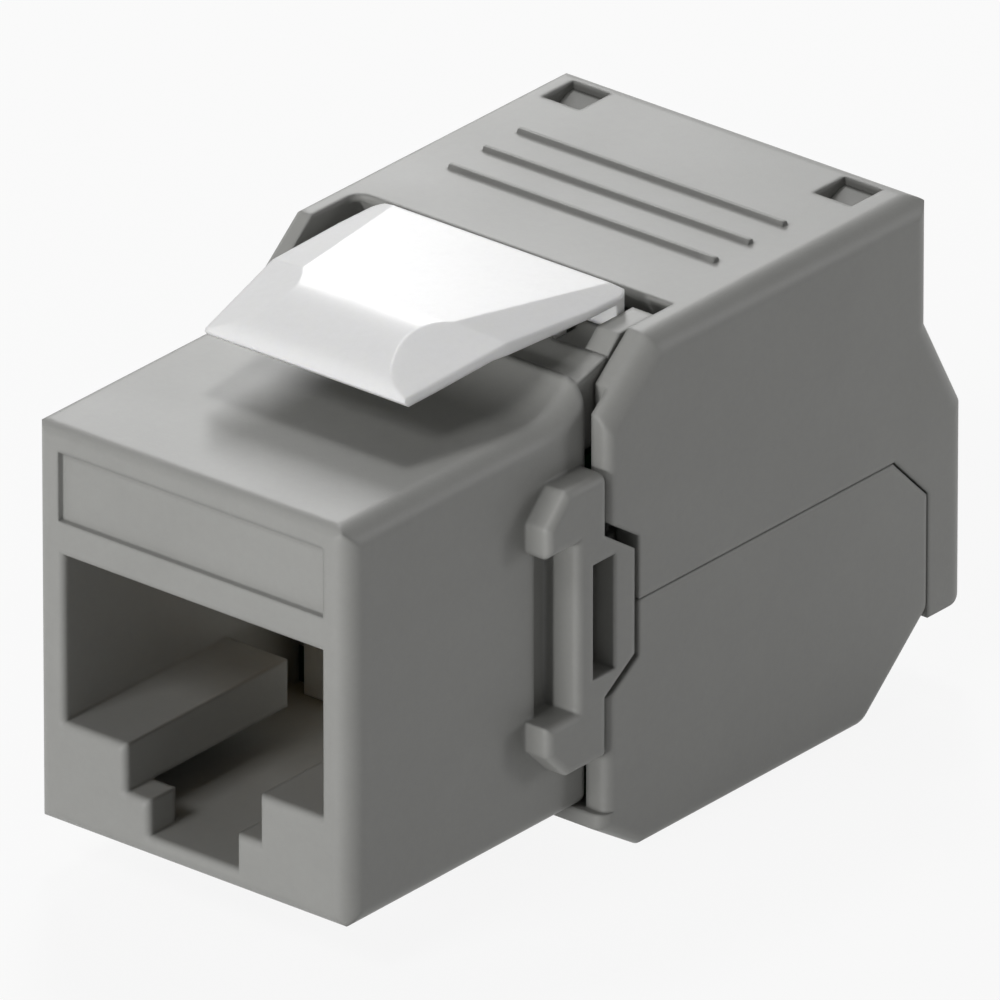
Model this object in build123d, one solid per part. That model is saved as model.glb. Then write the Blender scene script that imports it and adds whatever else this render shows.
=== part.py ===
from build123d import *
import os

# A tool-less RJ45 keystone jack: port housing, panel latch, spring contacts, circuit
# board, terminals, rear base and a hinged press lid. Lengths are in millimetres.
# Modelling axes: X across, Y from the front face backwards, Z up from the underside of
# the port housing. The parts are moved under their own origin when they are written.

# Clearances
fit_gap = 0.03
parting_gap = 0.05
seam_gap = 0.1
pivot_clearance = 0.05
margin = 1.0
slant_share = 0.45

# Port housing, outside
face_width = 15.0
face_height = 16.2
housing_length = 13.5
front_edge_radius = 0.5
upright_radius = 0.8
crown_radius = 0.9
left_crown_radius = 0.35
foot_radius = 0.6
lip_radius = 0.3
collar_start = 10.9
collar_height = 1.15
collar_length = 1.7
collar_slope_rise = 0.25
collar_underside = 14.3
collar_drop = 0.25
label_width = 12.6
label_height = 2.8
label_top_margin = 0.95
label_depth = 0.25

# Plug opening
plug_width = 12.3
plug_top = 11.02
plug_floor = 4.25
tab_width = 6.4
tab_floor = 2.3
key_width = 4.2
floor_wall = 0.85
front_wall = 1.58
ledge_length = 9.3
stop_depth = 12.7
chamber_width = 9.2
chamber_front = 3.2
roof_wall = 1.6

# Side brackets
bracket_middle = 8.2
bracket_half = 5.8
bracket_front = 10.1
bracket_bevel = 1.15
bracket_rear = 13.27
bar_front = 11.8
hook_gap_half = 3.45
hook_pocket_front = 10.6
hook_pocket_depth = 0.5
tab_root_half = 3.3
tab_end_half = 2.15
tab_end = 15.0
tab_seam_low = 0.2
tab_seam_high = 0.4
bracket_seam = 0.23
bracket_root = 0.3
bracket_edge_share = 0.28
window_front = 12.6
window_rear = 13.9
window_half = 2.35

# Fixed panel hook under the housing
hook_width = 10.4
hook_front = 5.9
hook_length = 2.1
hook_slope = 0.85
hook_depth = 1.5

# Rear block, shared by the base and the lid
rear_width = 17.3
shell_wall = 1.1
parting_height = 8.15
base_drop = 2.07
base_front = 13.2
bevel_length = 2.3
bevel_height = 1.43
tail_length = 3.5
tail_rise = 3.1
tail_radius = 1.0
shoulder_size = 2.0
bulkhead_front = 15.27
bulkhead_wall = 1.2
ledge_top = 17.5
ledge_rear = 18.0
ledge_lip = 0.7
ledge_slope = 1.4
key_inner = 6.08
key_top = 18.25
key_slope_rear = 15.95
arm_thickness = 1.0
barb_height = 0.35
barb_length = 0.95

# Hinge of the lid
hinge_y = 16.25
hinge_z = 16.45
boss_radius = 0.8
boss_cover = 0.5
boss_seat = 0.3
boss_foot = 0.6

# Press lid
lid_top = 18.4
lid_wall = 1.2
skirt_front = 13.53
skirt_edge_radius = 0.4
skirt_wall = 0.85
skirt_groove = 0.9
ear_front_top = 16.3
ear_front_low = 16.1
plate_front = 18.9
plate_lip = 0.3
ear_wall = 1.4
left_ear_wall = 0.85
ear_corner_radius = 0.6
overall_length = 34.5
flange_length = 2.45
lid_rear_step = 2.1
lid_rear_radius = 0.95
rear_slope_top = 13.1
rear_slope_low = 9.2
rear_slope_drop = 0.25
lid_bottom = 1.0
lid_foot_radius = 1.1
lid_edge_radius = 0.9
left_lid_edge_radius = 0.4
lid_middle = -0.35
rib_first = 22.7
rib_pitch = 2.0
rib_count = 3
rib_middle = -0.15
rib_length = 12.7
rib_width = 0.36
rib_height = 0.16
hole_size = 1.8
hole_x = 6.5
hole_to_rear = 1.95
hole_depth = 2.0
cable_radius = 3.2
cable_low = 5.6
cable_high = 6.2

# Panel latch
latch_tip = 6.5
latch_tip_z = 18.2
latch_rear = 18.1
latch_rear_z = 19.05
latch_crest_y = 10.4
latch_crest_z = 19.62
latch_tip_half = 4.75
latch_mid_half = 5.6
latch_rear_half = 6.0
latch_nose_length = 1.1
latch_nose_rise = 0.85
latch_nose_slope = 0.35
latch_crest_slope = -0.02
latch_lip = 0.2
latch_lip_length = 1.3
latch_lip_drop = 0.05
latch_ramp_length = 4.2
latch_thickness = 0.45
latch_rear_bevel = 0.3
latch_waist = 2.5
latch_waist_step = 0.05
latch_corner_radius = 0.7
ridge_front_half = 3.5
ridge_front_step = 0.3
ridge_rear_half = 5.0
ridge_rear_step = 0.8
ridge_rise = 0.05
flank_drop = 0.55
flank_step = 0.15
tongue_front = 15.5
tongue_wall = 0.6
tongue_depth = 2.1
tongue_width = 9.0
heel_length = 0.9
tongue_room = 0.45

# Contacts and board
contact_count = 8
contact_pitch = 1.016
contact_width = 0.45
contact_thickness = 0.3
contact_row = 12.6
contact_row_step = 0.4
contact_top = 12.9
contact_nose = 4.4
contact_nose_drop = 1.3
contact_rise = 2.2
contact_bend = 0.55
contact_tip_y = 12.0
contact_tip_z = 8.65
solder_stub = 0.4
carrier_width = 10.5
comb_length = 1.1
comb_bottom = 7.7
slot_width = 0.6
slot_above = 1.0
slot_below = 0.9
carrier_gap = 0.5
carrier_shelf = 1.6
board_front = 14.0
board_thickness = 1.2
board_edge_gap = 1.55
board_rim = 0.4
board_ledge = 1.5
board_bottom = 0.2
board_top = 14.0
board_hole = 0.4

# Terminals
wires_per_side = 4
wire_slot = 1.3
wire_bottom = 4.6
idc_thickness = 0.4
idc_width = 1.9
idc_top = 8.2
idc_foot = 2.0
idc_tail = 0.8
idc_fork = 0.35
idc_fork_depth = 2.8
idc_corner = 0.3
idc_mouth_half = 0.45
idc_mouth_depth = 0.8
pin_step = 0.2
pin_length = 0.3
tail_start = 0.5
lane_wall = 1.2
lane_edge = 1.1
block_end_wall = 1.4
block_top = 8.6
block_side_gap = 0.25
block_chamfer = 0.7
channel_width = 5.8
channel_floor = 1.5
cap_thickness = 1.8
cap_tunnel = 1.0
pusher_bottom = 6.2
pusher_inset = 0.4
press_rib_wall = 0.8
press_rib_inset = 1.3
press_rib_setback = 0.9

# Places worked out from the sizes
face_half = face_width / 2
rear_half = rear_width / 2
plug_half = plug_width / 2
inner_half = rear_half - shell_wall
tower_half = rear_half - ear_wall - seam_gap
skirt_half = rear_half - skirt_wall
board_half = rear_half - board_edge_gap
press_rib_x = rear_half - shell_wall - block_side_gap - press_rib_inset
base_bottom = -base_drop
base_rear = overall_length - flange_length
lid_rear = overall_length - lid_rear_step
hole_y = lid_rear - hole_to_rear
inner_floor = base_bottom + shell_wall
block_front = bulkhead_front + bulkhead_wall + 2 * seam_gap
block_rear = base_rear - tail_length - shell_wall / 2
block_half = inner_half - block_side_gap
channel_half = channel_width / 2
wire_first = block_front + block_end_wall + wire_slot / 4
wire_pitch = (block_rear - block_end_wall - wire_first) / (wires_per_side - 1)
lane_inner = channel_half + lane_wall
lane_pitch = (block_half - lane_edge - lane_inner) / (wires_per_side - 1)
cap_front = block_front + wire_slot / 3
cap_bottom = block_top + fit_gap
cap_top = cap_bottom + cap_thickness
board_rear = board_front + board_thickness
collar_rear = housing_length + collar_length
collar_top = face_height + collar_height + collar_slope_rise
wall_front = bracket_rear + bracket_seam
boss_tip = rear_half - boss_cover


def block(x_low, x_high, y_low, y_high, z_low, z_high):
    """A box between two corners."""
    size = (x_high - x_low, y_high - y_low, z_high - z_low)
    middle = ((x_low + x_high) / 2, (y_low + y_high) / 2, (z_low + z_high) / 2)
    return Pos(*middle) * Box(*size)


def side_slab(outline, x_low, x_high):
    """A closed outline of (Y, Z) points, carried across from one X to another."""
    wire = Polyline(*[(x_low, y, z) for y, z in outline], close=True)
    return extrude(make_face(wire), amount=x_high - x_low, dir=(1, 0, 0))


def cross_rod(radius, x_low, x_high, y, z):
    """A round rod along X."""
    return Pos((x_low + x_high) / 2, y, z) * Rot(0, 90, 0) * Cylinder(radius, x_high - x_low)


def length_rod(radius, y_low, y_high, z):
    """A round rod along Y, in the middle of the jack."""
    return Pos(0, (y_low + y_high) / 2, z) * Rot(90, 0, 0) * Cylinder(radius, y_high - y_low)


def both_sides(shape):
    """The shape with its mirror image on the other side."""
    return shape + mirror(shape, about=Plane.YZ)


def lane_places():
    """X of each terminal, the front one outermost."""
    return [lane_inner + lane_pitch * (wires_per_side - 1 - index) for index in range(wires_per_side)]


def wire_places():
    """Y of each wire slot with the X of its terminal."""
    return [(wire_first + wire_pitch * index, lane) for index, lane in enumerate(lane_places())]


def contact_places():
    """X of each contact and the height of its row, the rows taking turns."""
    places = []
    for index in range(contact_count):
        x = (index - (contact_count - 1) / 2) * contact_pitch
        side = 1 if index % 2 else -1
        places.append((x, contact_row + side * contact_row_step))
    return places


def upright_rounding(x, y, radius, low):
    """What a rounding takes off an upright front edge, from a height upwards."""
    corner = block(x - radius, x + margin, y - margin, y + radius, low, lid_top + margin)
    return corner - Pos(x - radius, y + radius, 0) * Cylinder(radius, 4 * lid_top)


def cross_rounding(radius, y, z, back, up):
    """What a rounding takes off an edge along X that faces back or front, up or down."""
    y_ends = sorted((y - back * radius, y + back * margin))
    z_ends = sorted((z - up * radius, z + up * margin))
    corner = block(-rear_width, rear_width, *y_ends, *z_ends)
    return corner - cross_rod(radius, -2 * rear_width, 2 * rear_width, y - back * radius, z - up * radius)


def housing_shell():
    """The rounded outside of the port housing, with the top rising to its collar."""
    crest = face_height + collar_height
    arc = TangentArc((0, collar_start, face_height), (0, housing_length, crest), tangent=(0, 1, 0))
    rest = Polyline(
        (0, housing_length, crest),
        (0, housing_length, 0),
        (0, 0, 0),
        (0, 0, face_height),
        (0, collar_start, face_height),
    )
    shell = extrude(make_face([arc, rest]), amount=face_half, dir=(1, 0, 0), both=True)
    shell = round_side(shell, face_half, 1, crown_edge, crown_radius)
    shell = round_side(shell, face_half, -1, crown_edge, left_crown_radius)
    shell = fillet([e for e in side_edges(shell, face_half) if e.center().Z < fit_gap], foot_radius)
    shell -= cross_rounding(front_edge_radius, 0, face_height, -1, 1)
    shell -= cross_rounding(front_edge_radius, 0, 0, -1, -1)
    return shell - both_sides(upright_rounding(face_half, 0, upright_radius, base_bottom))


def crown_edge(edge):
    """Edges of the housing's side view that belong to its top."""
    place = edge.center()
    return place.Z > face_height - fit_gap and place.Y < housing_length - fit_gap


def side_edges(shape, half):
    """Edges that lie flat on the two outer sides."""
    return [e for e in shape.edges() if abs(abs(e.center().X) - half) < fit_gap and flat_in_x(e)]


def round_side(shape, half, side, wanted, radius):
    """Round the wanted edges of one outer side."""
    edges = [e for e in side_edges(shape, half) if e.center().X * side > 0]
    return fillet([e for e in edges if wanted(e)], radius)


def flat_in_x(edge):
    """Whether an edge keeps one X all along."""
    box = edge.bounding_box()
    return box.max.X - box.min.X < fit_gap


def collar():
    """The stepped rim behind the housing that meets the shelf of the base."""
    crest = face_height + collar_height
    outline = [
        (housing_length - margin, collar_underside),
        (housing_length - margin, face_height - margin / 2),
        (housing_length, crest - collar_drop),
        (collar_rear, collar_top),
        (collar_rear, collar_underside),
    ]
    return side_slab(outline, -tower_half, tower_half)


def bracket():
    """One C-shaped side bracket: two panel hooks, a bar and a tab with a snap window."""
    low = bracket_middle - bracket_half
    high = bracket_middle + bracket_half
    gap_low = bracket_middle - hook_gap_half
    gap_high = bracket_middle + hook_gap_half
    outline = [
        (bracket_front, gap_high),
        (bracket_front, high - bracket_bevel),
        (bracket_front + bracket_bevel, high),
        (bracket_rear, high),
        (bracket_rear, bracket_middle + tab_root_half),
        (tab_end, bracket_middle + tab_end_half),
        (tab_end, bracket_middle - tab_end_half),
        (bracket_rear, bracket_middle - tab_root_half),
        (bracket_rear, low),
        (bracket_front + bracket_bevel, low),
        (bracket_front, low + bracket_bevel),
        (bracket_front, gap_low),
        (bar_front, gap_low),
        (bar_front, gap_high),
    ]
    solid = side_slab(outline, face_half, rear_half)
    rim = solid.faces().sort_by(Axis.X)[-1].edges()
    radius = bracket_edge_share * (rear_half - face_half)
    solid = fillet(rim.filter_by(lambda e: e.center().Y < bracket_rear - fit_gap), radius)
    return solid + block(face_half - bracket_root, face_half, bar_front, housing_length, low, high)


def plug_cavity():
    """The stepped opening, the guide ledges and the chamber above for the contacts."""
    back = housing_length + margin
    cavity = block(-plug_half, plug_half, -margin, back, plug_floor, plug_top)
    cavity += block(-tab_width / 2, tab_width / 2, -margin, back, tab_floor, plug_floor)
    cavity += block(-key_width / 2, key_width / 2, -margin, front_wall, floor_wall, tab_floor)
    cavity += block(-plug_half, plug_half, front_wall, back, floor_wall, tab_floor)
    cavity += block(-plug_half, plug_half, ledge_length, back, floor_wall, plug_floor)
    cavity += block(
        -chamber_width / 2, chamber_width / 2, chamber_front, back, plug_top, face_height - roof_wall
    )
    pocket_front = stop_depth - seam_gap
    cavity += block(-plug_half, plug_half, pocket_front, back, floor_wall, collar_underside)
    return cavity


def port_housing():
    """Front housing with its opening, label field, side brackets and panel hook."""
    body = housing_shell() + collar()
    body -= plug_cavity()
    lip = [e for e in body.faces().sort_by(Axis.Y)[0].inner_wires()[0].edges()]
    body = fillet(lip, lip_radius)
    label_top = face_height - label_top_margin
    label_low = label_top - label_height
    body -= block(-label_width / 2, label_width / 2, -margin, label_depth, label_low, label_top)
    pocket = block(
        face_half - hook_pocket_depth,
        face_half + margin,
        hook_pocket_front,
        bar_front,
        bracket_middle - hook_gap_half,
        bracket_middle + hook_gap_half,
    )
    body -= both_sides(pocket)
    body += both_sides(bracket())
    low = bracket_middle - window_half
    high = bracket_middle + window_half
    body -= both_sides(
        block(plug_half + seam_gap, rear_half + margin, window_front, window_rear, low, high)
    )
    body -= both_sides(
        block(plug_half + seam_gap, face_half, window_front, collar_rear + margin, low, high)
    )
    hook = [
        (hook_front, fit_gap),
        (hook_front + hook_slope, -hook_depth),
        (hook_front + hook_length, -hook_depth),
        (hook_front + hook_length, fit_gap),
    ]
    return body + side_slab(hook, -hook_width / 2, hook_width / 2)


def base_outline():
    """Side view of the rear base."""
    top = parting_height - parting_gap / 2
    return [
        (base_front, 0),
        (base_front, base_bottom + bevel_height),
        (base_front + bevel_length, base_bottom),
        (base_rear - tail_length, base_bottom),
        (base_rear, base_bottom + tail_rise),
        (base_rear, top - shoulder_size),
        (base_rear - shoulder_size, top),
        (bulkhead_front, top),
        (bulkhead_front, bracket_middle - tab_end_half - tab_seam_low),
        (wall_front, bracket_middle - tab_root_half - tab_seam_low),
        (wall_front, 0),
    ]


def base_hollow():
    """The space inside the rear base, open on top."""
    top = parting_height + margin
    slant = shell_wall * slant_share
    inside = base_rear - shell_wall
    outline = [
        (bulkhead_front + bulkhead_wall, inner_floor),
        (base_rear - tail_length - slant, inner_floor),
        (inside, base_bottom + tail_rise + slant),
        (inside, parting_height - shoulder_size - slant),
        (inside - shoulder_size - slant - margin, top),
        (bulkhead_front + bulkhead_wall, top),
    ]
    return side_slab(outline, -inner_half, inner_half)


def rear_base():
    """Rear shell below the parting line, with bulkhead, shelf, hinge bosses and snap arms."""
    body = side_slab(base_outline(), -rear_half, rear_half)
    bend = [e for e in body.edges().filter_by(Axis.X) if e.center().Z < base_bottom + fit_gap]
    body = fillet([e for e in bend if e.center().Y > base_rear - tail_length - fit_gap], tail_radius)
    rim = [e for e in side_edges(body, rear_half) if e.center().Z < -fit_gap]
    body = fillet(rim, front_edge_radius)
    body -= both_sides(upright_rounding(rear_half, wall_front, skirt_edge_radius, 0))
    body -= base_hollow()
    inside_front = bulkhead_front + bulkhead_wall
    body -= block(-face_half - seam_gap, face_half + seam_gap, 0, bulkhead_front, 0, face_height)
    body += side_slab(bulkhead_outline(), -tower_half, tower_half)
    body -= latch_pocket()
    body += latch_key()
    low_window = bracket_middle - tab_root_half
    body -= block(-board_half, board_half, 0, inside_front, floor_wall, low_window)
    window = board_half - board_ledge
    body -= block(-window, window, 0, inside_front, low_window - fit_gap, board_top - board_rim)
    body += both_sides(snap_arm())
    body += both_sides(cross_rod(boss_radius, tower_half - margin, boss_tip, hinge_y, hinge_z))
    cable_front = base_rear - tail_length - shell_wall
    body -= length_rod(cable_radius, cable_front, base_rear + margin, cable_low)
    body -= block(-cable_radius, cable_radius, cable_front, base_rear + margin, cable_low, lid_top)
    return body


def bulkhead_outline():
    """Side view of the bulkhead and the shelf that the latch stands on."""
    back = bulkhead_front + bulkhead_wall
    return [
        (bulkhead_front, inner_floor - fit_gap),
        (bulkhead_front, ledge_top),
        (ledge_rear, ledge_top),
        (ledge_rear, ledge_top - ledge_lip),
        (hinge_y + boss_radius + boss_seat, hinge_z - boss_radius - boss_foot),
        (back, hinge_z - boss_radius - boss_foot - ledge_slope),
        (back, inner_floor - fit_gap),
    ]


def latch_pocket():
    """The slot in front of the shelf that holds the tongue of the latch."""
    half = tongue_width / 2 + seam_gap
    back = tongue_front + tongue_wall + tongue_room
    bottom = ledge_top - tongue_depth - tongue_room
    return block(-half, half, bulkhead_front - margin, back, bottom, ledge_top + margin)


def latch_key():
    """The block at the right end of the shelf that keeps the latch in line."""
    outline = [
        (bulkhead_front, ledge_top - ledge_lip),
        (bulkhead_front, collar_top),
        (key_slope_rear, key_top),
        (ledge_rear, key_top),
        (ledge_rear, ledge_top - ledge_lip),
    ]
    return side_slab(outline, key_inner, tower_half)


def snap_arm():
    """A forward arm whose barb shows in the window of the side bracket."""
    outer = face_half - seam_gap
    inner = outer - arm_thickness
    half = window_half - seam_gap
    low = bracket_middle - half
    high = bracket_middle + half
    tip = window_front + seam_gap
    arm = block(inner, outer, tip, bulkhead_front + bulkhead_wall, low, high)
    barb = block(inner, outer + barb_height, tip, tip + barb_length, low, high)
    return arm + barb


def lid_outline():
    """Side view of the lid: ear, skirt, top, sloping rear wall."""
    tab_top = bracket_middle + tab_end_half + tab_seam_high
    tab_root = bracket_middle + tab_root_half + tab_seam_high
    low = parting_height + parting_gap / 2
    return [
        (skirt_front, ear_front_low),
        (ear_front_top, lid_top),
        (lid_rear, lid_top),
        (lid_rear, rear_slope_top),
        (overall_length, rear_slope_low),
        (overall_length, lid_bottom),
        (base_rear + seam_gap, lid_bottom),
        (base_rear + seam_gap, low - shoulder_size),
        (base_rear - shoulder_size + seam_gap, low),
        (bulkhead_front, low),
        (bulkhead_front, tab_top),
        (skirt_front, tab_root),
    ]


def lid_hollow():
    """The space inside the lid, open underneath."""
    low = -base_drop
    under = lid_top - lid_wall
    space = [
        (skirt_front - margin, low),
        (skirt_front - margin, under),
        (lid_rear - lid_wall, under),
        (lid_rear - lid_wall, rear_slope_top - rear_slope_drop),
        (overall_length - lid_wall, rear_slope_low - rear_slope_drop),
        (overall_length - lid_wall, low),
    ]
    return side_slab(space, -inner_half, inner_half)


def ear_opening():
    """The space between the two ears, in front of the top plate."""
    left = -rear_half + left_ear_wall
    low = bracket_middle + bracket_half
    room = block(left, rear_half - ear_wall, skirt_front - margin, plate_front, low, lid_top + margin)
    corner = [e for e in room.edges().filter_by(Axis.Z) if e.center().Y > plate_front - fit_gap]
    return fillet([e for e in corner if e.center().X < 0], ear_corner_radius)


def press_lid():
    """Hinged lid with ears, grip ribs, square holes and the upper half of the cable entry."""
    body = side_slab(lid_outline(), -rear_half, rear_half)
    body = round_side(body, rear_half, 1, lid_edge_shown, lid_edge_radius)
    body = round_side(body, rear_half, -1, lid_edge_shown, left_lid_edge_radius)
    body -= cross_rounding(lid_rear_radius, lid_rear, lid_top, 1, 1)
    body -= cross_rounding(lid_foot_radius, overall_length, lid_bottom, 1, -1)
    body -= both_sides(upright_rounding(rear_half, skirt_front, skirt_edge_radius, base_bottom))
    ears_low = bracket_middle + bracket_half + 2 * seam_gap
    ears = block(-rear_half, rear_half, skirt_front - margin, plate_front, ears_low, lid_top)
    body -= lid_hollow() - ears
    body -= ear_opening()
    groove_rear = skirt_front + skirt_groove
    groove_top = lid_top + margin
    body -= block(-skirt_half, skirt_half, skirt_front - margin, groove_rear, bracket_middle, groove_top)
    body -= front_bevel()
    reach = boss_tip + seam_gap
    body -= cross_rod(boss_radius + pivot_clearance, -reach, reach, hinge_y, hinge_z)
    for index in range(rib_count):
        body += grip_rib(rib_first + rib_pitch * index)
    hole = hole_size / 2
    for x in (lid_middle - hole_x, lid_middle + hole_x):
        hole_low = lid_top - hole_depth
        body -= block(x - hole, x + hole, hole_y - hole, hole_y + hole, hole_low, lid_top + margin)
    body += both_sides(press_rib())
    entry_front = lid_rear - margin
    entry_rear = overall_length + margin
    body -= length_rod(cable_radius, entry_front, entry_rear, cable_high)
    low = lid_bottom - margin
    return body - block(-cable_radius, cable_radius, entry_front, entry_rear, low, cable_high)


def lid_edge_shown(edge):
    """Edges of the side view that are rounded: ear slope, top and rear wall."""
    place = edge.center()
    return place.Z > ear_front_low or (place.Y > lid_rear - fit_gap and place.Z > lid_bottom + margin)


def front_bevel():
    """Bevel under the front of the top plate, which clears the latch as the lid opens."""
    under = lid_top - lid_wall
    lip = lid_top - plate_lip
    outline = [
        (plate_front - margin, under - margin),
        (plate_front - margin, lip),
        (plate_front, lip),
        (plate_front + lid_wall / 2, under),
        (plate_front + lid_wall / 2, under - margin),
    ]
    return side_slab(outline, -rear_half + left_ear_wall, rear_half - ear_wall)


def grip_rib(y):
    """One raised rib across the lid, with bevelled flanks."""
    outline = [
        (y - rib_width / 2, lid_top - fit_gap),
        (y - rib_width / 4, lid_top + rib_height),
        (y + rib_width / 4, lid_top + rib_height),
        (y + rib_width / 2, lid_top - fit_gap),
    ]
    return side_slab(outline, rib_middle - rib_length / 2, rib_middle + rib_length / 2)


def press_rib():
    """Rib inside the lid that holds the wire cap down."""
    left = press_rib_x - press_rib_wall / 2
    right = press_rib_x + press_rib_wall / 2
    top = lid_top - lid_wall + fit_gap
    front = cap_front + 2 * margin + press_rib_setback
    return block(left, right, front, block_rear, cap_top + seam_gap, top)


def plane_through(first, second, third):
    """The plane through three points, facing up."""
    normal = (Vector(*second) - Vector(*first)).cross(Vector(*third) - Vector(*first))
    if normal.Z < 0:
        normal = normal * -1
    return Plane(origin=first, z_dir=normal)


def latch_plate():
    """The crowned plate of the latch with its foot and tongue, the same all across."""
    crest = (0, latch_crest_y, latch_crest_z)
    ramp = Spline(
        (0, latch_tip, latch_tip_z),
        (0, latch_tip + latch_nose_length, latch_tip_z + latch_nose_rise),
        crest,
        tangents=[(0, latch_nose_slope, 1), (0, 1, latch_crest_slope)],
    )
    foot = ledge_top + seam_gap / 2
    under = latch_rear_z - latch_thickness
    tongue_back = tongue_front + tongue_wall
    rest = Polyline(
        crest,
        (0, latch_rear - latch_rear_bevel, latch_rear_z),
        (0, latch_rear, latch_rear_z - latch_rear_bevel),
        (0, latch_rear, foot),
        (0, tongue_back, foot),
        (0, tongue_back, foot - tongue_depth),
        (0, tongue_front, foot - tongue_depth),
        (0, tongue_front, under),
        (0, latch_tip + latch_ramp_length, under),
        (0, latch_tip + latch_lip_length, latch_tip_z - latch_lip_drop),
        (0, latch_tip + latch_lip, latch_tip_z - latch_lip),
        (0, latch_tip, latch_tip_z),
    )
    width = latch_rear_half + margin
    plate = extrude(make_face([ramp, rest]), amount=width, dir=(1, 0, 0), both=True)
    heel = latch_rear - heel_length
    beside = block(tongue_width / 2, width + margin, tongue_front - margin, heel, 0, under)
    return plate - both_sides(beside)


def latch_plan():
    """The latch seen from above: narrow at its tip, wide at its foot."""
    right = [
        (latch_tip_half, latch_tip - margin),
        (latch_tip_half, latch_tip),
        (latch_mid_half, latch_crest_y + 1),
        (latch_rear_half - latch_waist_step, latch_rear - latch_waist),
        (latch_rear_half, latch_rear + margin),
    ]
    left = [(-x, y) for x, y in reversed(right)]
    plan = Polyline(*[(x, y, 0) for x, y in right + left], close=True)
    return extrude(make_face(plan), amount=2 * lid_top, dir=(0, 0, 1))


def panel_latch():
    """The flexible latch: a crowned plate with bevelled sides, a foot and a tongue."""
    body = latch_plate() & latch_plan()
    for side in (-1, 1):
        ridge = (side * ridge_front_half, latch_crest_y + ridge_front_step, latch_crest_z)
        rear = (side * ridge_rear_half, latch_rear - ridge_rear_step, latch_rear_z + ridge_rise)
        edge = (side * latch_mid_half, latch_crest_y + 1, latch_crest_z - flank_drop)
        corner = (side * latch_tip_half, latch_tip + flank_step, latch_tip_z + flank_step)
        body = split(body, bisect_by=plane_through(ridge, rear, edge), keep=Keep.BOTTOM)
        body = split(body, bisect_by=plane_through(ridge, corner, edge), keep=Keep.BOTTOM)
    corners = [e for e in body.edges().filter_by(Axis.Z) if e.center().Y > latch_rear - fit_gap]
    return fillet(corners, latch_corner_radius)


def contact(x, row):
    """One spring contact: solder tail, run to the nose, bend and sloping spring arm."""
    points = [
        (x, board_rear + solder_stub, row),
        (x, stop_depth - comb_length, row),
        (x, stop_depth - comb_length - contact_rise, contact_top),
        (x, contact_nose, contact_top),
        (x, contact_nose, contact_top - contact_nose_drop),
        (x, contact_tip_y, contact_tip_z),
    ]
    path = FilletPolyline(*points, radius=contact_bend)
    section = Plane(origin=path @ 0, x_dir=(1, 0, 0), z_dir=path % 0)
    return sweep(section * Rectangle(contact_width, contact_thickness), path=path)


def contact_carrier():
    """Insert at the back of the plug cavity, with a comb that guides the contacts."""
    half = carrier_width / 2
    low = floor_wall + fit_gap
    high = collar_underside - fit_gap
    comb_half = chamber_width / 2 - fit_gap
    comb_front = stop_depth - comb_length
    body = block(-half, half, stop_depth, board_front - carrier_gap, low, high)
    body += block(-half, half, stop_depth, board_front - fit_gap, contact_row - carrier_shelf, high)
    body += block(-comb_half, comb_half, comb_front, stop_depth, comb_bottom, high)
    front = comb_front - margin
    for x, row in contact_places():
        left = x - slot_width / 2
        right = x + slot_width / 2
        top = contact_row + slot_above
        body -= block(left, right, front, stop_depth, comb_bottom - margin, top)
        body -= block(left, right, front, board_front, contact_row - slot_below, top)
    return body


def circuit_board():
    """Small upright board that joins the contacts to the terminals."""
    body = block(-board_half, board_half, board_front, board_rear, board_bottom, board_top)
    low = bracket_middle - window_half - seam_gap
    high = bracket_middle + window_half + seam_gap
    inner = face_half - seam_gap - arm_thickness - seam_gap
    body -= both_sides(block(inner, rear_half + margin, 0, board_rear + margin, low, high))
    for x, row in contact_places():
        body -= Pos(x, 0, 0) * length_rod(board_hole, 0, board_rear + margin, row)
    for lane in lane_places():
        hole = length_rod(board_hole, 0, board_rear + margin, idc_foot + idc_tail / 2)
        body -= both_sides(Pos(lane, 0, 0) * hole)
    return body


def terminal_block():
    """Block with a cable channel and two towers, each with wire slots and terminals."""
    low = inner_floor + fit_gap
    outline = [
        (block_front, low),
        (block_rear - block_chamfer, low),
        (block_rear, low + block_chamfer),
        (block_rear, block_top),
        (block_front, block_top),
    ]
    body = side_slab(outline, -block_half, block_half)
    front = block_front - margin
    rear = block_rear + margin
    above = block_top + margin
    body -= block(-channel_half, channel_half, front, rear, channel_floor, above)
    plate = idc_thickness / 2 + fit_gap
    foot = idc_foot - fit_gap
    tail_top = idc_foot + idc_tail + fit_gap
    reach = idc_width / 2 + fit_gap
    half_slot = wire_slot / 2
    for y, lane in wire_places():
        slot = block(channel_half - margin, rear_half, y - half_slot, y + half_slot, wire_bottom, above)
        slot += block(lane - plate, lane + plate, y - reach, y + reach, foot, above)
        slot += block(lane - plate, lane + plate, front, y, foot, tail_top)
        body -= both_sides(slot)
    return body


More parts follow.
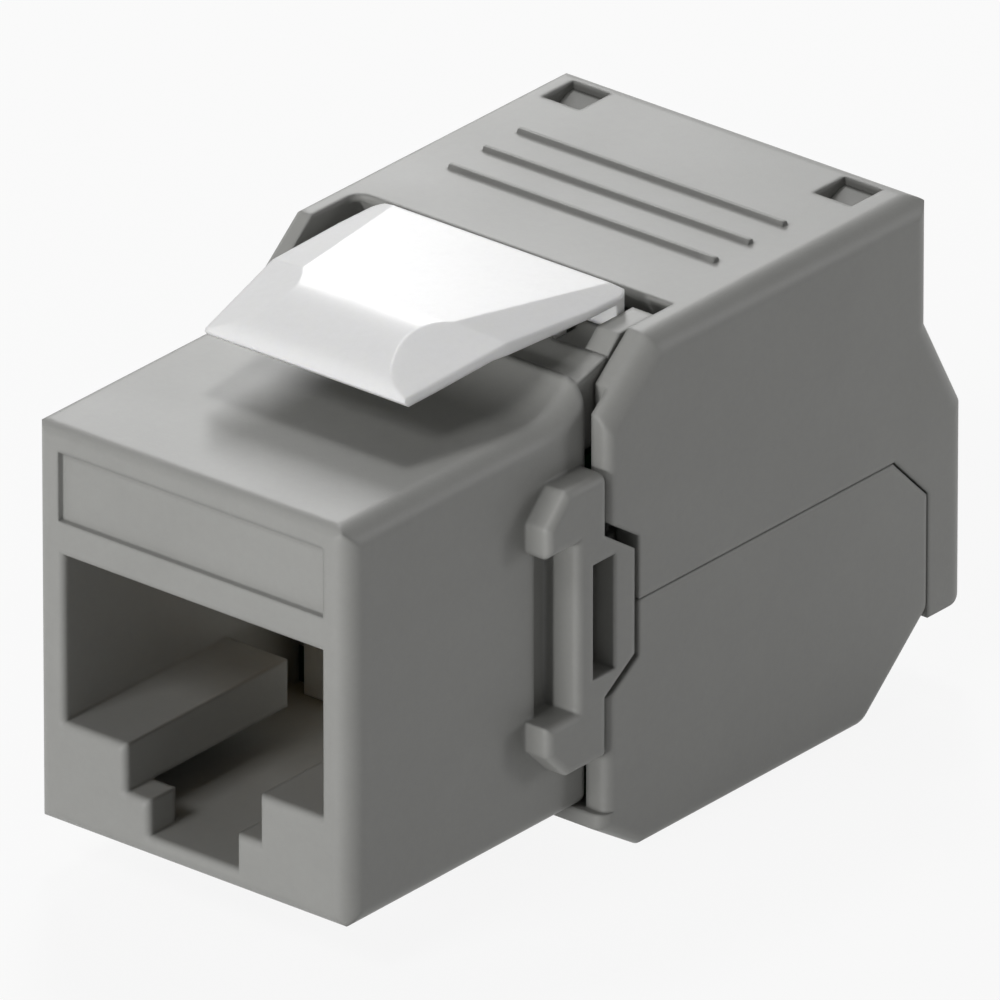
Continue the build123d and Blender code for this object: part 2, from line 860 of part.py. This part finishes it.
def terminal(y, lane, side):
    """One stamped terminal: forked blade above, tail below that runs to the board."""
    low = idc_foot
    half = idc_width / 2
    fork = idc_fork / 2
    tail_top = idc_foot + idc_tail
    pin_low = idc_foot + pin_step
    pin_high = tail_top - pin_step
    pin_end = board_front - pin_length
    shoulder = board_rear + tail_start
    outline = [
        (pin_end, pin_low),
        (pin_end, pin_high),
        (shoulder, pin_high),
        (shoulder, tail_top),
        (y - half, tail_top),
        (y - half, idc_top - idc_corner),
        (y - half + idc_corner, idc_top),
        (y - idc_mouth_half, idc_top),
        (y - fork, idc_top - idc_mouth_depth),
        (y - fork, idc_top - idc_fork_depth),
        (y + fork, idc_top - idc_fork_depth),
        (y + fork, idc_top - idc_mouth_depth),
        (y + idc_mouth_half, idc_top),
        (y + half - idc_corner, idc_top),
        (y + half, idc_top - idc_corner),
        (y + half, low),
        (shoulder, low),
        (shoulder, pin_low),
    ]
    middle = side * lane
    return side_slab(outline, middle - idc_thickness / 2, middle + idc_thickness / 2)


def wire_cap():
    """Cap over the terminals, with pushers that press the wires into the forks."""
    body = block(-block_half, block_half, cap_front, block_rear, cap_bottom, cap_top)
    tunnel_top = cap_bottom + cap_tunnel
    body -= block(-channel_half, channel_half, cap_front - margin, block_rear + margin, 0, tunnel_top)
    inner = channel_half + pusher_inset
    outer = block_half - seam_gap
    reach = wire_slot / 2 - seam_gap
    gap = idc_thickness / 2 + 2 * seam_gap
    for y, lane in wire_places():
        pusher = block(inner, outer, y - reach, y + reach, pusher_bottom, cap_bottom + fit_gap)
        pusher -= block(lane - gap, lane + gap, y - margin, y + margin, 0, cap_bottom)
        body += both_sides(pusher)
    return body


def all_parts():
    """Every piece by its name."""
    parts = {
        "port_housing": port_housing(),
        "panel_latch": panel_latch(),
        "contact_carrier": contact_carrier(),
        "circuit_board": circuit_board(),
        "rear_base": rear_base(),
        "terminal_block": terminal_block(),
        "wire_cap": wire_cap(),
        "press_lid": press_lid(),
    }
    for index, (x, row) in enumerate(contact_places()):
        parts[f"contact_{index + 1}"] = contact(x, row)
    number = 1
    for side in (-1, 1):
        for y, lane in wire_places():
            parts[f"idc_{number}"] = terminal(y, lane, side)
            number += 1
    return parts


def write_parts():
    """Move each piece to the origin under the middle of the jack and write it."""
    os.makedirs("parts", exist_ok=True)
    for name, shape in all_parts().items():
        export_step(Pos(0, -overall_length / 2, base_drop) * shape, f"parts/{name}.step")


write_parts()
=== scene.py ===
from math import cos, radians, sin

import bpy
from mathutils import Matrix, Vector


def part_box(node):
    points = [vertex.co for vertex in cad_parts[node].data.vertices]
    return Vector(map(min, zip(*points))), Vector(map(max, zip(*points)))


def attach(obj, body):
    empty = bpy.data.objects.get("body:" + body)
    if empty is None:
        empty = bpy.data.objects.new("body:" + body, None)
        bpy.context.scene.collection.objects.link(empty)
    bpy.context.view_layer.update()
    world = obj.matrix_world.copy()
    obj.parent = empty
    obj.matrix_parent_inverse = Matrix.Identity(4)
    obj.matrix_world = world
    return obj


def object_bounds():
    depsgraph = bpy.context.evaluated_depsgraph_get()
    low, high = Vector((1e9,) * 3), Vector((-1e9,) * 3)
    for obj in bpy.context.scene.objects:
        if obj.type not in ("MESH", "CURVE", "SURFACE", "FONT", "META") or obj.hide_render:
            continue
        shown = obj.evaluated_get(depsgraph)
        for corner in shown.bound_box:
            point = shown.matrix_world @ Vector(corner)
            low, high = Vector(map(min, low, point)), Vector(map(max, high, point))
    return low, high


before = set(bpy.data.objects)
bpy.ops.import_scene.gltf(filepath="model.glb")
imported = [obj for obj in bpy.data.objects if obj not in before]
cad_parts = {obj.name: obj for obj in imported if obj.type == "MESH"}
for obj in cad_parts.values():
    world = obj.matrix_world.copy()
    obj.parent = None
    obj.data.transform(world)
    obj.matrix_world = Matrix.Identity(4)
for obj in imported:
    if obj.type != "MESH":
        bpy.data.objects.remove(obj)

MM = 0.001

# Sizes of the patterns in the materials, in mm.
FLOW_MM = 5.0
SPECK_MM = 0.35
CLOUD_MM = 1.2
WEAVE_MM = 0.5
COPPER_GAP_MM = 2.6
# Depths of the streaks in plated strip and of the steps in the board's copper, in mm.
STREAK_DEPTH_MM = 0.004
COPPER_STEP_MM = 0.02
# How much the specks in moulded plastic darken and lighten it.
SPECK_DARK, SPECK_LIGHT = 0.975, 1.015
# How far roughness strays: of moulded plastic to either side, of plating below and above.
GLOSS_SPREAD = 0.015
PLATING_BELOW, PLATING_ABOVE = 0.06, 0.08
# The span that noise mostly fills.
NOISE_LOW, NOISE_HIGH = 0.3, 0.7
# Rolling draws the streaks out along the strip, to twenty times their width.
STREAK_STRETCH = (1.0, 0.05, 0.05)

cad_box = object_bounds()


def colour(code):
    """A linear RGBA colour from an sRGB hex code such as "a5a6a0"."""
    levels = [int(code[i:i + 2], 16) / 255 for i in (0, 2, 4)]
    return tuple(v / 12.92 if v <= 0.04045 else ((v + 0.055) / 1.055) ** 2.4 for v in levels) + (1.0,)


def per_mm(size):
    """The texture scale at which one feature measures that many millimetres."""
    return 1.0 / (size * MM)


def add_node(tree, kind, settings=None, **links):
    """Adds a node. Settings are properties or input values, links are output sockets by input name."""
    node = tree.nodes.new("ShaderNode" + kind)
    for name, value in (settings or {}).items():
        if name in node.inputs:
            node.inputs[name].default_value = value
        else:
            setattr(node, name, value)
    for name, source in links.items():
        tree.links.new(source, node.inputs[name.replace("_", " ")])
    return node


def new_material(name):
    """An empty node material, its tree, its output and the object's own coordinates."""
    material = bpy.data.materials.new(name)
    material.use_nodes = True
    tree = material.node_tree
    tree.nodes.clear()
    output = tree.nodes.new("ShaderNodeOutputMaterial")
    place = add_node(tree, "TexCoord").outputs["Object"]
    return material, tree, output, place


def moulded_plastic(
    name, base, shade, grain_mm, grain_depth_mm, roughness, ior, edge_mm=0.12, glow_mm=0.0,
):
    """Injection moulded plastic: faint flow tint, fine grain, almost even gloss, softened edges.

    A glow depth above zero lets light soak through thin walls, as it does in natural acetal."""
    material, tree, output, place = new_material(name)
    flow = add_node(
        tree, "TexNoise", {"Scale": per_mm(FLOW_MM), "Detail": 3.0, "Roughness": 0.55}, Vector=place,
    )
    speck = add_node(
        tree, "TexNoise", {"Scale": per_mm(SPECK_MM), "Detail": 4.0, "Roughness": 0.7}, Vector=place,
    )
    tint = add_node(tree, "ValToRGB", Fac=flow.outputs["Fac"])
    tint.color_ramp.elements[0].position = 0.36
    tint.color_ramp.elements[0].color = colour(shade)
    tint.color_ramp.elements[1].position = 0.64
    tint.color_ramp.elements[1].color = colour(base)
    speck_mix = add_node(
        tree, "MapRange",
        {"From Min": NOISE_LOW, "From Max": NOISE_HIGH, "To Min": SPECK_DARK, "To Max": SPECK_LIGHT},
        Value=speck.outputs["Fac"],
    )
    tinted = add_node(
        tree, "VectorMath", {"operation": "SCALE"},
        Vector=tint.outputs["Color"], Scale=speck_mix.outputs["Result"],
    )
    gloss = add_node(
        tree, "MapRange", {
            "From Min": NOISE_LOW, "From Max": NOISE_HIGH,
            "To Min": roughness - GLOSS_SPREAD, "To Max": roughness + GLOSS_SPREAD,
        },
        Value=flow.outputs["Fac"],
    )
    grain = add_node(
        tree, "TexNoise", {"Scale": per_mm(grain_mm), "Detail": 2.0, "Roughness": 0.6}, Vector=place,
    )
    soft_edge = add_node(tree, "Bevel", {"samples": 6, "Radius": edge_mm * MM})
    bump = add_node(
        tree, "Bump", {"Strength": 1.0, "Distance": grain_depth_mm * MM},
        Height=grain.outputs["Fac"], Normal=soft_edge.outputs["Normal"],
    )
    shader = add_node(
        tree, "BsdfPrincipled", {
            "IOR": ior, "Subsurface Weight": 1.0 if glow_mm else 0.0, "Subsurface Scale": glow_mm * MM,
            "Subsurface Radius": (1.0, 1.0, 0.95),
        },
        Base_Color=tinted.outputs["Vector"], Roughness=gloss.outputs["Result"],
        Normal=bump.outputs["Normal"],
    )
    tree.links.new(shader.outputs["BSDF"], output.inputs["Surface"])
    return material


def plated_metal(name, base, shade, roughness, streak_mm):
    """Plated strip: fine rolling streaks along its length, with the plating a little uneven."""
    material, tree, output, place = new_material(name)
    stretched = add_node(tree, "Mapping", {"Scale": STREAK_STRETCH}, Vector=place)
    streak = add_node(
        tree, "TexNoise", {"Scale": per_mm(streak_mm), "Detail": 2.0}, Vector=stretched.outputs["Vector"],
    )
    cloud = add_node(tree, "TexNoise", {"Scale": per_mm(CLOUD_MM), "Detail": 2.0}, Vector=place)
    tint = add_node(tree, "ValToRGB", Fac=cloud.outputs["Fac"])
    tint.color_ramp.elements[0].position = 0.35
    tint.color_ramp.elements[0].color = colour(shade)
    tint.color_ramp.elements[1].position = 0.65
    tint.color_ramp.elements[1].color = colour(base)
    gloss = add_node(
        tree, "MapRange", {
            "From Min": NOISE_LOW, "From Max": NOISE_HIGH,
            "To Min": roughness - PLATING_BELOW, "To Max": roughness + PLATING_ABOVE,
        },
        Value=streak.outputs["Fac"],
    )
    bump = add_node(
        tree, "Bump", {"Strength": 0.6, "Distance": STREAK_DEPTH_MM * MM}, Height=streak.outputs["Fac"],
    )
    shader = add_node(
        tree, "BsdfPrincipled", {"Metallic": 1.0},
        Base_Color=tint.outputs["Color"], Roughness=gloss.outputs["Result"],
        Normal=bump.outputs["Normal"],
    )
    tree.links.new(shader.outputs["BSDF"], output.inputs["Surface"])
    return material


def board_laminate():
    """FR4 under green solder mask: glossy lacquer, glass weave just showing, darker copper below."""
    material, tree, output, place = new_material("fr4_green_solder_mask")
    weave = add_node(
        tree, "TexChecker",
        {"Scale": per_mm(WEAVE_MM), "Color1": colour("1d5a34"), "Color2": colour("22663b")}, Vector=place,
    )
    copper = add_node(tree, "TexBrick", {
        "Scale": per_mm(COPPER_GAP_MM), "Color1": (0.0, 0.0, 0.0, 1.0), "Color2": (0.0, 0.0, 0.0, 1.0),
        "Mortar": (1.0, 1.0, 1.0, 1.0), "Mortar Size": 0.05,
    }, Vector=place)
    # A colour mix has its share in socket 0, its two colours in 6 and 7, and its result in output 2.
    mixed = add_node(tree, "Mix", {"data_type": "RGBA"})
    tree.links.new(copper.outputs["Color"], mixed.inputs[0])
    tree.links.new(weave.outputs["Color"], mixed.inputs[6])
    mixed.inputs[7].default_value = colour("17482a")
    bump = add_node(
        tree, "Bump", {"Strength": 0.5, "Distance": COPPER_STEP_MM * MM}, Height=copper.outputs["Fac"],
    )
    shader = add_node(
        tree, "BsdfPrincipled", {"IOR": 1.55, "Roughness": 0.28},
        Base_Color=mixed.outputs[2], Normal=bump.outputs["Normal"],
    )
    tree.links.new(shader.outputs["BSDF"], output.inputs["Surface"])
    return material


# Grey ABS from a spark-eroded tool: an even satin grey with softened edges.
grey_abs = moulded_plastic(
    "grey_abs_moulded", "949491", "90908d", 0.10, 0.004, 0.48, 1.53, edge_mm=0.3,
)
# Natural white acetal from a polished tool: brighter and smoother than the shell, with a little depth.
white_acetal = moulded_plastic(
    "white_acetal_moulded", "fcfcfa", "f9f9f7", 0.16, 0.002, 0.34, 1.48, edge_mm=0.2, glow_mm=0.3,
)
# Pale PBT from a plain tool: chalky and matt.
pale_pbt = moulded_plastic("pale_pbt_moulded", "dededa", "d8d8d3", 0.12, 0.005, 0.5, 1.55)
# Milky polycarbonate from a polished tool: pale, and glossier than the insert.
milky_pc = moulded_plastic("milky_polycarbonate_moulded", "dcdcd8", "d4d4d0", 0.14, 0.003, 0.3, 1.58)
# Gold flashed over nickel on phosphor bronze wire: a warm yellow shine, streaked along the wire.
gold_plate = plated_metal("gold_plated_phosphor_bronze", "e3b34f", "d6a343", 0.22, 0.05)
# Bright tin plated on stamped bronze: a cold, pale shine with fine streaks.
tin_plate = plated_metal("tin_plated_bronze", "cfcfcb", "bdbdb8", 0.3, 0.05)
laminate = board_laminate()


def dress(material, *names):
    """Gives CAD nodes their finish."""
    for name in names:
        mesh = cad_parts[name].data
        mesh.materials.clear()
        mesh.materials.append(material)


dress(grey_abs, "port_housing", "rear_base", "press_lid")
dress(white_acetal, "panel_latch")
dress(pale_pbt, "contact_carrier", "terminal_block")
dress(milky_pc, "wire_cap")
dress(laminate, "circuit_board")
dress(gold_plate, *[f"contact_{i}" for i in range(1, 9)])
dress(tin_plate, *[f"idc_{i}" for i in range(1, 9)])


# The square pockets in the lid are shallow in the photograph and deepen towards the front. Each gets a
# ramped floor, in mm in the shared frame.
POCKET_X = (-6.85, 6.15)
POCKET_Y = 13.2
POCKET_HALF = 0.895
POCKET_REAR_DEPTH = 0.3
POCKET_FALL = 0.75
POCKET_CURVE = 1.3
POCKET_BASE_DEPTH = 1.3
POCKET_STEPS = 12
RIB_HEIGHT = 0.16


def pocket_floor(name, x_mm):
    """A closed pad with a ramp on top that curves down towards the front of one pocket in the lid."""
    lid_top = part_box("press_lid")[1].z / MM - RIB_HEIGHT
    outline = []
    for step in range(POCKET_STEPS + 1):
        share = step / POCKET_STEPS
        depth = POCKET_REAR_DEPTH + POCKET_FALL * (1.0 - share) ** POCKET_CURVE
        outline.append((POCKET_Y + (2.0 * share - 1.0) * POCKET_HALF, lid_top - depth))
    outline.append((POCKET_Y + POCKET_HALF, lid_top - POCKET_BASE_DEPTH))
    outline.append((POCKET_Y - POCKET_HALF, lid_top - POCKET_BASE_DEPTH))
    count = len(outline)
    corners = [Vector((x_mm + side * POCKET_HALF, y, z)) * MM for side in (-1.0, 1.0) for y, z in outline]
    faces = [tuple(range(count)), tuple(range(2 * count - 1, count - 1, -1))]
    for here in range(count):
        ahead = (here + 1) % count
        faces.append((here, here + count, ahead + count, ahead))
    mesh = bpy.data.meshes.new(name)
    mesh.from_pydata(corners, [], faces)
    mesh.validate()
    mesh.materials.append(grey_abs)
    piece = bpy.data.objects.new(name, mesh)
    bpy.context.scene.collection.objects.link(piece)
    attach(piece, "lid")


for side, pocket_x in zip(("left", "right"), POCKET_X):
    pocket_floor("lid_pocket_" + side, pocket_x)


def seen_directly(tree):
    """1 for rays from the camera and for those that metal or glass throws on, 0 for soft light."""
    rays = add_node(tree, "LightPath")
    mirrored = add_node(tree, "Math", {"operation": "MAXIMUM"})
    tree.links.new(rays.outputs["Is Camera Ray"], mirrored.inputs[0])
    tree.links.new(rays.outputs["Is Glossy Ray"], mirrored.inputs[1])
    either = add_node(tree, "Math", {"operation": "MAXIMUM"})
    tree.links.new(mirrored.outputs[0], either.inputs[0])
    tree.links.new(rays.outputs["Is Transmission Ray"], either.inputs[1])
    return either.outputs[0]


# Half the floor's side, in metres, and how much of it shows plain white to the camera.
FLOOR_HALF = 3.0
FLOOR_WHITE = 0.9


def floor_material():
    """Pale floor that shows white to the camera and keeps a soft shadow."""
    material, tree, output, place = new_material("pale_floor")
    lit = add_node(tree, "BsdfDiffuse", {"Color": colour("e9e9e9")})
    white = add_node(tree, "Emission", {"Color": (1.0, 1.0, 1.0, 1.0), "Strength": 1.0})
    share = add_node(tree, "Math", {"operation": "MULTIPLY"})
    tree.links.new(seen_directly(tree), share.inputs[0])
    share.inputs[1].default_value = FLOOR_WHITE
    mix = add_node(tree, "MixShader")
    tree.links.new(share.outputs[0], mix.inputs[0])
    tree.links.new(lit.outputs[0], mix.inputs[1])
    tree.links.new(white.outputs[0], mix.inputs[2])
    tree.links.new(mix.outputs[0], output.inputs["Surface"])
    return material


def lay_floor():
    """A wide flat floor under the jack."""
    low = cad_box[0][2]
    mesh = bpy.data.meshes.new("floor")
    signs = ((-1, -1), (1, -1), (1, 1), (-1, 1))
    corners = [(across * FLOOR_HALF, along * FLOOR_HALF, low) for across, along in signs]
    mesh.from_pydata(corners, [], [(0, 1, 2, 3)])
    floor = bpy.data.objects.new("floor", mesh)
    bpy.context.scene.collection.objects.link(floor)
    mesh.materials.append(floor_material())


def light_world(strength):
    """Even studio light from all round, white to the camera."""
    world = bpy.data.worlds.new("studio")
    bpy.context.scene.world = world
    world.use_nodes = True
    tree = world.node_tree
    tree.nodes.clear()
    output = tree.nodes.new("ShaderNodeOutputWorld")
    soft = add_node(tree, "Background", {"Color": colour("ffffff"), "Strength": strength})
    white = add_node(tree, "Background", {"Color": colour("ffffff"), "Strength": 1.0})
    mix = add_node(tree, "MixShader")
    tree.links.new(seen_directly(tree), mix.inputs[0])
    tree.links.new(soft.outputs[0], mix.inputs[1])
    tree.links.new(white.outputs[0], mix.inputs[2])
    tree.links.new(mix.outputs[0], output.inputs["Surface"])


def softbox(name, place_mm, target_mm, size_mm, power):
    """A rectangular studio lamp that points at a target, with the first of its two sides level."""
    data = bpy.data.lights.new(name, "AREA")
    data.shape = "RECTANGLE"
    data.size = size_mm[0] * MM
    data.size_y = size_mm[1] * MM
    data.energy = power
    lamp = bpy.data.objects.new(name, data)
    bpy.context.scene.collection.objects.link(lamp)
    place = Vector(place_mm) * MM
    lamp.location = place
    lamp.rotation_euler = (place - Vector(target_mm) * MM).to_track_quat("Z", "Y").to_euler()


# The camera stands where the photograph's did: long lens, from the front right and above.
AZIMUTH = radians(39.6)
ELEVATION = radians(26.0)
FOCAL_PX = 34000.0
IMAGE_PX = 1000.0
SENSOR_MM = 36.0
PX_PER_MM = 27.3
# Pixel of the middle of the port housing's lower front edge, and that edge's height in mm over the
# base's underside.
FACE_FOOT_PX = (191.7, 874.5)
FACE_FOOT_MM = 2.07


def place_camera():
    """Sets the camera so that the face's foot lands on its pixel at the measured scale."""
    right = Vector((cos(AZIMUTH), sin(AZIMUTH), 0.0))
    back = Vector((sin(AZIMUTH) * cos(ELEVATION), -cos(AZIMUTH) * cos(ELEVATION), sin(ELEVATION)))
    up = back.cross(right)
    low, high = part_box("port_housing")
    base_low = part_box("rear_base")[0]
    foot = Vector((0.0, low.y, base_low.z + FACE_FOOT_MM * MM))
    aside = (IMAGE_PX / 2 - FACE_FOOT_PX[0]) / PX_PER_MM * MM
    above = (FACE_FOOT_PX[1] - IMAGE_PX / 2) / PX_PER_MM * MM
    distance = FOCAL_PX / PX_PER_MM * MM
    data = bpy.data.cameras.new("camera")
    data.sensor_width = SENSOR_MM
    data.lens = FOCAL_PX / IMAGE_PX * SENSOR_MM
    camera = bpy.data.objects.new("camera", data)
    bpy.context.scene.collection.objects.link(camera)
    turn = Matrix((right, up, back)).transposed().to_4x4()
    camera.matrix_world = Matrix.Translation(foot + aside * right + above * up + distance * back) @ turn
    bpy.context.scene.camera = camera


lay_floor()
light_world(strength=0.05)
# Each lamp has its place, its target and its size in mm, and its power in watts.
softbox("back_key", (-166, 180, 141), (0, 0, 12), (36, 80), 0.175)
softbox("high_back", (-100, 110, 270), (0, 0, 12), (60, 60), 0.22)
softbox("front_fill", (-20, -200, 220), (0, -5, 14), (80, 80), 0.20)
softbox("low_front", (10, -325, 24), (0, -12, 8), (60, 40), 0.52)
softbox("right_back", (200, 240, 60), (5, 5, 8), (60, 120), 0.16)
place_camera()
bpy.context.scene.view_settings.view_transform = "Standard"
